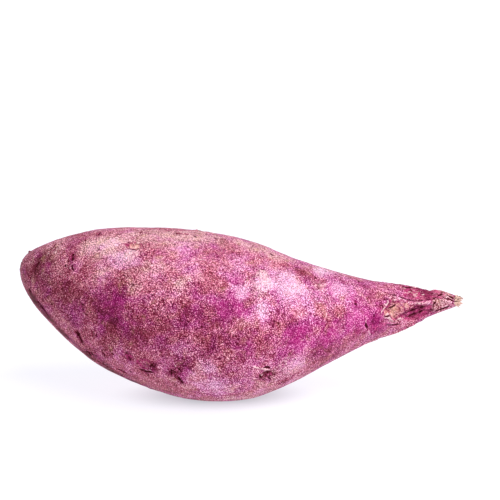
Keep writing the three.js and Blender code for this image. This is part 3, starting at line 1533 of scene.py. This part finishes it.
# The soft zones of colour: along, turn, size and amount, then the width and the
# lean of those that aren't round.
ZONES: dict[Look, tuple[tuple[float, ...], ...]] = {
    Look.BLUSH: (
        (-81, 40, 4, 0.7), (-47, 13, 12, 0.6, 0.8), (-44, 6, 9, 0.5), (-24, -24, 6, 0.5),
        (-16, 66, 10, 0.45), (-5, 20, 9, 0.6), (0, 34, 9, 0.8, 1.6), (4, 10, 10, 0.5, 0.7),
        (4, -2, 7, 0.6), (10, 45, 8, 0.5), (22, -8, 7, 0.6), (25, -10, 6, 0.8),
        (26, 0, 12, 0.9, 0.8, 10), (37, 0, 10, 1), (44, 36, 12, 0.6), (48, -34, 7, 0.6),
        (48, 14, 10, 0.7, 0.5), (50, 2, 9, 1), (56, -10, 7, 0.5), (59, 15, 6, 0.9), (-44, 236, 18, 0.5),
        (-10, 168, 20, 0.7), (22, 250, 18, 0.5), (30, 120, 22, 0.7), (40, 200, 18, 0.8),
    ),
    # Partly painted shade: the zones on the left end and low on the belly darken where the light falls off.
    Look.DUSK_AND_SHADE: (
        (-90, 10, 8, 0.6), (-83.5, 36, 8, 1.6), (-83, 50, 8, 1.1), (-80, 14, 8, 1.2),
        (-72, 6, 16, 1, 0.8), (-68, 28, 9, 0.6), (-66, -20, 16, 0.4), (-64, -28, 8, 0.4),
        (-62, -22, 8, 0.3), (-62, -50, 20, 0.8, 0.3), (-60, 10, 10, 0.5), (-57, 32, 10, 0.4, 0.6),
        (-54, 16, 9, 1), (-54, 20, 8, 0.5), (-54, -26, 9, 0.5), (-51, 5, 11, 1.5), (-50, 30, 6, 0.4),
        (-48, 27, 7, 0.9), (-45, -2, 16, 0.65, 0.6), (-33, 60, 6, 0.4), (-29, -4, 6, 0.5),
        (-26, 12, 30, 0.5, 0.3), (-25, -30, 5, 0.6), (-24, -26, 5, 0.8), (-21, -14, 6, 0.9),
        (-20, -66, 30, 0.4, 0.3), (-12, 0, 20, 0.5, 0.4), (-6, 16, 5, 0.7), (-6, 20, 10, 0.4, 0.6),
        (-2, 20, 6.5, 0.75), (2, -6, 6, 0.3), (17, 34, 6, 0.4), (18, 34, 4, 0.5), (21, -6, 7, 0.45),
        (24, 68, 5.5, 0.7), (25, 7, 8, 0.9), (34, -12, 8, 0.4), (-80, 160, 12, 0.6),
        (-56, 196, 18, 0.7), (-34, 172, 12, 0.6, 0.7), (-16, 256, 16, 0.4, 0.6), (6, 184, 9, 0.6),
    ),
    Look.DUST: (
        (-80, 54, 12, 0.75), (-72, 12, 20, 0.2), (-60, 66, 13, 0.9, 0.7), (-56, 42, 7, 0.5),
        (-53, 62, 14, 0.8, 0.6), (-48, -24, 7, 0.3), (-46, 42, 5, 0.5), (-43, 31, 7, 0.6, 0.6),
        (-36, 48, 10, 0.6, 0.6), (-30, 82, 34, 0.9, 0.35), (-26, -34, 18, 0.2, 0.4),
        (-23, 38, 6, 0.8, 0.6), (4, -54, 26, 0.5, 0.3), (10, 88, 26, 0.8, 0.3), (16, -30, 14, 0.6, 0.5),
        (38, 90, 16, 0.6, 0.3), (66, 22, 8, 0.6), (88, 20, 8, 0.8), (-82, 230, 12, 0.5),
        (-56, 130, 18, 0.7), (-22, 222, 22, 0.6, 0.5), (0, 118, 18, 0.5, 0.6), (26, 276, 18, 0.6, 0.6),
    ),
    # Partly a painted highlight: the strongest zones lie on the upper right, near along 10 to 20 and turn 45.
    Look.LILAC_AND_HIGHLIGHT: (
        (-60, 66, 11, 0.4, 0.7), (-52, 44, 6, 0.4), (-50, 69, 6, 0.5), (-50, 50, 9, 0.7, 0.7),
        (-46, 54, 8, 0.9, 0.8), (-34, 40, 6, 0.4), (-30, 26, 10, 0.35), (-26, 38, 5, 0.4),
        (-24, 34, 5, 0.4), (-22, 69, 7, 0.35), (-22, -8, 7, 0.3), (-20, 46, 7, 0.3), (-14, -18, 7, 0.6),
        (-9, -32, 11, 0.7, 0.5), (-7, -34, 8, 0.6), (0, 56, 12, 0.35), (1, 36, 6, 0.8),
        (8, 60, 9, 0.35, 0.75), (9, 25, 6, 0.75), (9, 41, 6, 0.6), (11, 45, 8, 1, 0.7),
        (19, 47, 15, 0.8, 0.75), (25, -25, 7, 0.4), (26, -25, 7, 0.6), (30, 36, 11, 0.6),
        (34, 86, 8, 1), (43, 55, 11, 0.5), (-30, 130, 16, 0.5), (-6, 204, 12, 0.4),
        (10, 140, 14, 0.7, 0.6),
    ),
    # Those near turn 38 to 53 on the right are painted highlight flecks; the others are pale patches of the
    # skin.
    Look.PALE: (
        (-43, 57, 6, 0.4, 0.8), (-4, -38, 5, 0.35), (8, 38, 7, 0.5), (10, 50, 7, 0.6), (34, 53, 6, 0.4),
    ),
    Look.WINE: (
        (46, -16, 5, 0.3), (49.5, -10, 3.5, 0.5), (59, -20, 6, 0.55), (60, 18, 5, 0.3),
        (66, 6, 5, 0.35),
    ),
}

# Places along the lower left edge of the belly, darkened there as painted shade.
BELLY_SHADE = (
    (-87, -38), (-81, -47), (-73, -52), (-64, -57), (-54, -62), (-44, -67), (-32, -73), (-18, -79), (-3, -83),
)


def stains() -> list[Mark]:
    """The soft zones of colour all over the skin, and painted shade along the belly's lower edge.

    Returns:
        The stains.
    """
    marks = []
    for look, zones in ZONES.items():
        for along, turn, size, amount, *shape in zones:
            marks.append(Stain(along, turn, size, *shape, look=look, amount=amount))
    for place in BELLY_SHADE:
        # Painted shade: a dark purple band and a darker band along the belly's edge.
        marks.append(Stain(*place, 10, width=0.6, look=Look.DUSK_AND_SHADE, amount=1))
        marks.append(Stain(*place, 8, width=0.6, look=Look.SOIL_AND_SHADE, amount=0.5))
    return marks


def front_marks() -> list[Mark]:
    """The marks that show from the front.

    Returns:
        The marks, in the order that they are cut.
    """
    return [
        Stain(-85.2, 52, 3.4, width=0.7, lean=50, look=Look.CORK, amount=0.5),
        Crack(((-84, 49), (-84.8, 44), (-85.9, 37)), width=0.5),
        Crack(((-83.6, 56), (-84.3, 52)), width=0.4, dirt=0.8),
        Crack(((-86, 33), (-86.3, 24)), width=0.35, dirt=0.6),
        Stain(-90.2, 30, 2.4, look=Look.CORK, amount=0.4),
        Crack(((-79.6, 66), (-78.4, 73), (-77.2, 81)), width=0.4, dirt=0.8),
        Crack(((-78.6, 62), (-77.2, 69), (-76.2, 75)), width=0.35, dirt=0.6),
        Ridge(((-80.6, 57), (-79.6, 62)), width=0.9, depth=0.2, pale=0.8),
        Ridge(((-77.4, 60), (-75.8, 63)), width=0.6, depth=0.15, pale=0.8),
        Crease(((-87, 34), (-88.4, 12), (-88, -16))),
        Crease(((-84, 24), (-85, 0), (-84.6, -24)), depth=0.15),
        PitCluster(-69.1, 55, 1.15),
        Crack(((-85, -27), (-83.2, -30.5), (-81, -35.5)), width=0.55, depth=0.6),
        Crack(((-84.4, -33), (-82.4, -36), (-80, -41)), width=0.6, depth=0.6),
        Stain(-82.6, -33, 2.8, width=0.5, lean=-35, look=Look.WINE, amount=0.6),
        Nub(-89, -24, 0.9),
        Nub(-62.9, -50, 1),
        Crack(((-68.2, -28), (-67.4, -29.4), (-66.2, -33), (-65, -40)), width=0.6, lip=0),
        Scab(-66.2, -31.6, 2.9, width=0.6, lean=-58),
        Crease(((-59.8, -13), (-59.9, -18), (-60.1, -23.5)), width=0.8, depth=0.3),
        Crack(((-62.4, -46), (-61, -48)), width=0.45, dirt=0.8),
        Crack(((-60.4, -54), (-56, -55.5), (-52, -54)), width=0.45, lip=0.1, dirt=0.7),
        Crack(((-51.6, -50), (-49.4, -48.6), (-47, -49.8)), width=0.75, dirt=0.7, lip=0.1),
        Speck(-44.8, -44, 0.6),
        Speck(-52, -30, 0.6),
        Dent(-45.4, -26, 3.6, depth=0.6),
        Stain(-45.4, -26, 3.2, width=0.65, lean=-60, look=Look.WINE, amount=0.65),
        Stain(-45, -27, 2.2, width=0.5, lean=-60, look=Look.SOIL_AND_SHADE, amount=0.5),
        Scab(-44.8, -27, 1.3, width=0.5, lean=-50),
        Speck(-46, -23, 0.8),
        OvalScar(-37.5, -27.5),
        CrustyScar(-26.2, -27, 1.15),
        Crease(((-20, -43), (-10, -46), (-2, -45)), width=0.7, depth=0.2),
        Crease(((-15, -48), (-5, -50), (4, -48)), width=0.7, depth=0.2),
        Crease(((-24, -51), (-12, -53), (0, -54)), width=0.7, depth=0.2),
        Crease(((11.5, -35), (17, -37), (22, -38), (30, -36)), width=0.6, depth=0.25),
        Crease(((9, -39), (16, -41), (26, -42)), width=0.6, depth=0.25),
        Crease(((14, -44), (22, -45), (30, -45)), width=0.6, depth=0.2),
        RootEye(11.4, -22.4),
        Stain(14.3, -13.6, 1.1, look=Look.FLESH, amount=0.8),
        RingStain(19.4, -17.5),
        TopScar(-23.1, 86),
        TopScar(-8.1, 85, 0.7),
        Speck(-18.2, 84, 0.8),
        Speck(13.6, 84, 1),
        Peel(-42.8, 65, 3.2, width=0.62, lean=-10, bare=0.75),
        Crack(((-45.8, 63), (-43.4, 61), (-40.2, 63)), width=0.4, lip=0.2, dirt=0.6),
        Crack(((-46, 67), (-45, 69)), width=0.4, lip=0, dirt=0.7),
        Crack(((-51.6, 75), (-50.2, 79), (-48.8, 80)), width=0.4, dirt=0.6),
        Ridge(((-52, 71), (-50, 76)), width=0.5, depth=0.1, pale=0.9),
        Ridge(((-20, 55.5), (-17, 57.5), (-13, 57)), width=0.5, depth=0.1, pale=0.9),
        Ridge(((52.3, 10), (52.6, 4), (52.7, -1)), width=0.42, depth=0.3, pale=0.9),
        Crack(((52.5, 0), (53, -6), (53.8, -12)), width=0.6, depth=0.7, lip=0),
        Ridge(((53.9, -13), (54.3, -20), (54.7, -30)), width=0.42, depth=0.3, pale=1),
        Dent(56.2, -6, 2.8, width=1.6, depth=0.45),
        Stain(56.4, -6, 3.4, look=Look.WINE, amount=0.35),
    ]


def scattered_marks() -> list[Mark]:
    """Strews small pores and scars all over the skin.

    Returns:
        The marks: of every six, one is a scab and one is a slit.
    """
    chance = random.Random(11)
    marks = []
    for number in range(130):
        place = chance.uniform(-88, 62), chance.uniform(0, 360)
        if number % 6 == 0:
            size = chance.uniform(0.8, 1.5)
            marks.append(Scab(*place, size, width=0.6, lean=chance.uniform(50, 130)))
        elif number % 6 == 1:
            size = chance.uniform(0.8, 1.4)
            marks.append(Speck(*place, size, width=0.3, lean=chance.uniform(60, 120)))
        else:
            marks.append(Speck(*place, chance.uniform(0.35, 0.7)))
    return marks


def neck_marks() -> list[Mark]:
    """The marks of the shrunken neck.

    Returns:
        The marks, in the order that they are cut.
    """
    return [
        Flute(77.6, 66, 11, width=0.42, depth=0.7, shade=0.55),
        Flute(75.8, -19, 7.4, width=0.56, depth=0.9, lean=-3, shade=1.1),
        Flute(74, 122, 12, width=0.32, shade=0.7),
        Flute(75, 185, 10, width=0.36, shade=0.8),
        Flute(74, 250, 11, width=0.34, shade=0.7),
        Stain(82, -27, 1.6, look=Look.SOIL_AND_SHADE, amount=0.55),
        Peel(65.4, 12, 4.8, width=0.85, lift=0.5, bare=0.6),
        Stain(66.5, 4, 4, width=0.7, look=Look.FLESH, amount=0.45),
        Dent(61.9, 11, 1.9, width=0.9, depth=0.5),
        Stain(61.9, 11, 2.2, width=0.85, look=Look.FLESH, amount=0.9),
        Stain(61.7, 9, 1.5, look=Look.CORK, amount=0.55),
        Stain(70.2, 22, 2.6, width=0.7, lean=-30, look=Look.FLESH, amount=0.7),
        Crack(((62.6, 18), (64.4, 20), (66.4, 26)), width=0.45, depth=0.5, lip=0, dirt=0.8),
        Crack(((60.2, 6), (61.4, 2), (63.2, 2)), width=0.4, depth=0.4, lip=0.4, dirt=0.7),
        Crack(((61.6, -17), (64.6, -24), (67.6, -29)), width=0.5, depth=0.5, lip=0.3, dirt=0.7),
        Ridge(((59.3, 4), (59.2, 12), (60.4, 20), (62.6, 25)), width=0.5, depth=0.35),
        Ridge(((66.5, 34), (72.5, 25), (76, 20), (81, 17), (86, 18), (91, 20)), width=1, depth=0.6, pale=0.5),
        # Painted highlight: pale raised lips along the neck's lower rim.
        Ridge(((46, -58), (54, -54), (61, -52), (68, -56)), width=0.6, depth=0.25, pale=0.6),
        Ridge(((60, -55), (65, -58), (70, -62), (76, -66), (81, -69)), width=0.7, depth=0.35, pale=0.6),
        Ridge(((62.2, 44), (65.6, 42), (68.6, 36)), width=0.5, depth=0.25, pale=0.7),
        Ridge(((67.6, 76), (69.6, 68), (71.6, 62)), width=0.45, depth=0.25, pale=0.7),
        Ridge(((73, 68), (75, 62), (76.4, 66)), width=0.5, depth=0.3, pale=0.8),
        Ridge(((77.4, 60), (79.4, 63)), width=0.4, depth=0.25, pale=0.7),
        Ridge(((69.6, 4), (70.8, -6), (71.4, -18)), width=0.4, depth=0.25, pale=0.6),
        Crack(((62.8, 50), (66, 48.5)), width=0.4, dirt=0.7),
        Crack(((60.6, 38), (62.4, 36)), width=0.35, dirt=0.6),
        Crack(((67.6, 46), (71.5, 37), (76, 31), (81, 29)), width=0.4, lip=0, dirt=0.8),
        Crack(((69, 86), (74, 88), (80, 87)), width=0.5, lip=0.2, dirt=0.8),
        Crack(((82.2, -48), (84.4, -40), (87.3, -34), (90.6, -28)), width=0.55, depth=0.6, lip=0.4),
        Crack(((86.6, 78), (86.2, 62), (84.6, 46)), width=0.55, depth=0.5, lip=0.3),
        Crack(((84, 38), (82.2, 30)), width=0.45, lip=0.3, dirt=0.8),
        Crack(((83.4, 16), (82.6, 4), (82.4, -10)), width=0.5, depth=0.5, lip=0.2, dirt=0.8),
        Crack(((88.4, 60), (90.6, 48), (91.6, 36)), width=0.5, depth=0.5),
        Crack(((87.4, 34), (90.2, 22), (92, 10)), width=0.4, depth=0.4, dirt=0.8),
        Crack(((70.5, -4), (75, -8), (80, -6)), width=0.45, lip=0, dirt=0.8),
        Crack(((71.5, -24), (75, -26), (79, -22)), width=0.4, lip=0, dirt=0.7),
        Crack(((60, 160), (64, 150), (68, 152)), width=0.5, lip=0.6),
        Ridge(((62, 96), (70, 98), (78, 100), (86, 96)), width=0.7, depth=0.35, pale=0.5),
        Ridge(((64, 154), (72, 153), (80, 150), (88, 150)), width=0.7, depth=0.4, pale=0.6),
        Ridge(((62, 218), (70, 217), (79, 215), (87, 216)), width=0.7, depth=0.4, pale=0.5),
        Crack(((84, 130), (85.4, 160), (84.6, 190)), width=0.5, depth=0.5),
        Crack(((83, 226), (84.4, 250), (83.6, 280)), width=0.5, depth=0.5),
        Peel(60, 236, 3.4, width=0.7, lift=0.4),
        Peel(64, 118, 3, width=0.6, lift=0.4, lean=-15),
    ]


def hidden_marks() -> list[Mark]:
    """The marks of the back, the top, the underside and the crown.

    Returns:
        The marks, in the order that they are cut.
    """
    return [
        RootEye(-8, 192, 0.9, lean=160),
        RootEye(-34, 276, 0.7, lean=20),
        CrustyScar(-56, 128, 0.8, lean=30),
        CrustyScar(17, 150, 0.75, lean=-70),
        CrustyScar(-22, 238, 0.9, lean=140),
        OvalScar(-46, 196, 0.9, lean=170),
        OvalScar(25, 214, 0.65, lean=40),
        OvalScar(-64, 250, 0.6, lean=-60),
        PitCluster(-24, 136, 0.9, lean=190),
        PitCluster(36, 172, 0.7, lean=150),
        PitCluster(-74, 172, 0.7, lean=100),
        PitCluster(6, 262, 0.75, lean=60),
        RingStain(-30, 168, 1, lean=120),
        RingStain(32, 128, 0.8),
        RingStain(-2, 226, 1.1, lean=200),
        TopScar(2, 118, 0.9, lean=20),
        TopScar(-60, 214, 0.8, lean=70),
        TopScar(-18, 100, 0.6, lean=-20),
        Peel(-12, 112, 2.6, width=0.5, lean=15, bare=0.7),
        Peel(-66, 226, 2.4, width=0.7),
        Peel(43, 196, 2.2, width=0.6, lean=-20),
        Dent(-32, 178, 5, depth=0.6),
        Dent(20, 186, 4.2, depth=0.5),
        Dent(-76, 130, 4, depth=0.4),
        Crack(((-40, 148), (-37, 152), (-34.6, 151)), width=0.45, dirt=0.8),
        Crack(((2, 206), (7, 203), (11, 205)), width=0.5),
        Crack(((46, 176), (46.6, 190), (47.2, 204)), width=0.5, depth=0.6, lip=0.6),
        Ridge(((46.4, 206), (46.8, 222)), width=0.42, depth=0.3, pale=0.9),
        Crease(((-66, 196), (-64, 214), (-65, 232)), width=1),
        Crease(((30, 104), (31, 124), (30, 144)), width=0.9, depth=0.2),
        Crease(((-4, 166), (-2, 180), (-5, 196)), width=1.2, depth=0.25),
        Crease(((-22, 240), (-8, 244), (4, 242)), width=0.8, depth=0.15),
        Crease(((4, 158), (12, 161), (22, 160)), width=0.7, depth=0.2),
        Crease(((2, 164), (12, 167), (20, 167)), width=0.7, depth=0.2),
        Nub(-90.5, 110, 0.9),
        Nub(-91, 200, 1, height=0.8),
        Nub(-50, 270, 0.9),
        Eye(-92.6, 160, 1.5, nub=0.2),
        Crack(((-93.6, 60), (-94.2, 120), (-93, 190)), width=0.5, depth=0.4, lip=0.4),
        Crack(((-84, 140), (-85.4, 150), (-86.2, 162)), width=0.45),
        Crease(((-89, 96), (-90, 140), (-88.5, 176)), width=1),
        Crease(((-87, 216), (-88.5, 260), (-87.5, 300)), width=1),
        Stain(-86, 150, 4, width=0.7, look=Look.CORK, amount=0.45),
    ]


# ------------------------------------------------------------------- the studio


@dataclass(frozen=True)
class SoftSun:
    """A broad far light: the way it stands from the root, its breadth and its strength."""

    way: Triple
    breadth: float
    strength: float

    def hang(self, name: str) -> None:
        """Hangs the light, facing the root.

        Args:
            name: The light's name.
        """
        lamp = bpy.data.lights.new(name, "SUN")
        lamp.angle = math.radians(self.breadth)
        lamp.energy = self.strength
        light = bpy.data.objects.new(name, lamp)
        light.location = Vector(self.way).normalized()
        light.rotation_euler = Vector(self.way).to_track_quat("Z", "Y").to_euler()
        bpy.context.scene.collection.objects.link(light)


@dataclass(frozen=True)
class Studio:
    """The camera, the floor and the lights, in metres."""

    aim: Triple = (0.0046, 0.0, 0.06485)
    elevation: float = 14.0
    distance: float = 0.581
    lens: float = 100.0
    film: float = 36.0
    farthest: float = 50.0
    floor_radius: float = 4.0
    floor_sides: int = 96
    paper_height: float = 2.0
    sky: float = 0.3
    key: SoftSun = SoftSun((0.56, -0.4, 0.8), 50.0, 3.6)
    floor_finish: FloorFinish = FloorFinish("pale_floor", "#808084", 0.93)
    paper_finish: FloorFinish = FloorFinish("pale_paper", "#000000", 1.1)

    def set_up(self) -> None:
        """Puts everything in its place."""
        self._place_camera()
        self._lay_floor()
        self._light()

    def _place_camera(self) -> None:
        """Stands the camera in front of the root, looking slightly down."""
        settings = bpy.data.cameras.new("camera")
        settings.lens = self.lens
        settings.sensor_width = self.film
        settings.clip_end = self.farthest
        camera = bpy.data.objects.new("camera", settings)
        lift = math.radians(self.elevation)
        back = Vector((0, -math.cos(lift), math.sin(lift)))
        camera.location = Vector(self.aim) + back * self.distance
        camera.rotation_euler = (math.pi / 2 - lift, 0, 0)
        bpy.context.scene.collection.objects.link(camera)
        bpy.context.scene.camera = camera

    def _lay_floor(self) -> None:
        """Lays a round floor under the root and stands white paper all round it."""
        shape = bmesh.new()
        bmesh.ops.create_circle(shape, cap_ends=True, segments=self.floor_sides, radius=self.floor_radius)
        rim = list(shape.edges)
        disc = list(shape.faces)
        self._stage("floor", shape.copy(), self.floor_finish, lights_root=True)
        wall = bmesh.ops.extrude_edge_only(shape, edges=rim)["geom"]
        tops = [item for item in wall if isinstance(item, bmesh.types.BMVert)]
        bmesh.ops.translate(shape, verts=tops, vec=(0, 0, self.paper_height))
        bmesh.ops.delete(shape, geom=disc, context="FACES_ONLY")
        self._stage("backdrop", shape, self.paper_finish, lights_root=False)

    @staticmethod
    def _stage(name: str, shape: bmesh.types.BMesh, finish: FloorFinish, lights_root: bool) -> None:
        """Makes a surface of the stage.

        Args:
            name: The object's name.
            shape: Its mesh, which is used up.
            finish: What it is made of.
            lights_root: Whether it throws light back on the root.
        """
        mesh = bpy.data.meshes.new(name)
        shape.to_mesh(mesh)
        shape.free()
        mesh.materials.append(finish.make())
        surface = bpy.data.objects.new(name, mesh)
        surface.visible_diffuse = lights_root
        bpy.context.scene.collection.objects.link(surface)

    def _light(self) -> None:
        """Lights the root with a white sky and a soft key from the upper right."""
        world = bpy.data.worlds.new("white_room")
        world.use_nodes = True
        sky = world.node_tree.nodes["Background"]
        sky.inputs["Color"].default_value = (1.0, 1.0, 1.0, 1.0)
        sky.inputs["Strength"].default_value = self.sky
        scene = bpy.context.scene
        scene.world = world
        self.key.hang("key")
        scene.view_settings.view_transform = "Standard"


def main() -> None:
    """Builds the scene and reports its pieces."""
    logging.basicConfig(level=logging.INFO, format="%(message)s")
    Studio().set_up()
    groups = (stains(), scattered_marks(), front_marks(), neck_marks(), hidden_marks())
    marks = [part for group in groups for mark in group for part in mark.parts()]
    root = Root(Solid(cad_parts[NODE]), SkinFinish(), marks=marks).build()
    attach(root, "root")
    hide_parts(NODE)
    log.info("%s: %d faces", root.name, len(root.data.polygons))


if __name__ == "__main__":
    main()
